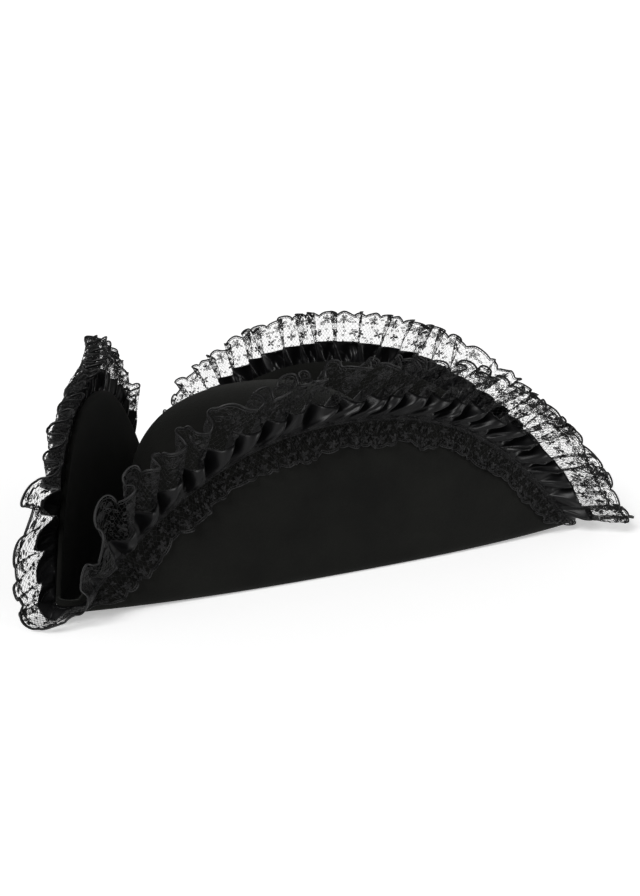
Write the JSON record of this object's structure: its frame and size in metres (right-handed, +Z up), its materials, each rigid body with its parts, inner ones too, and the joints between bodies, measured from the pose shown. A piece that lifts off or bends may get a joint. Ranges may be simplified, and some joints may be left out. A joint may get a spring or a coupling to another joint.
{
  "type": "tricorn hat",
  "caption": "Three-cornered felt hat with a low domed crown, an upturned brim and a gathered satin and lace edging round it.",
  "frame": {"origin": "bottom centre of the whole hat's box, on the surface that the brim rests on", "axes": "+Z up, -Y to the front corner, +X to the wearer's left"},
  "size_m": [0.4396, 0.3662, 0.1436],
  "materials": {
    "felt": "black felt with a short soft nap",
    "satin": "black satin ribbon with a soft gloss",
    "lace": "black net lace with corded flowers and a scalloped edge"
  },
  "bodies": {
    "root": {"felt_body": "felt", "satin_ruffle_left": "satin", "satin_ruffle_rear": "satin", "satin_ruffle_right": "satin", "outer_lace_left": "lace", "outer_lace_rear": "lace", "outer_lace_right": "lace", "inner_lace_left": "lace", "inner_lace_rear": "lace", "inner_lace_right": "lace"}
  },
  "joints": []
}
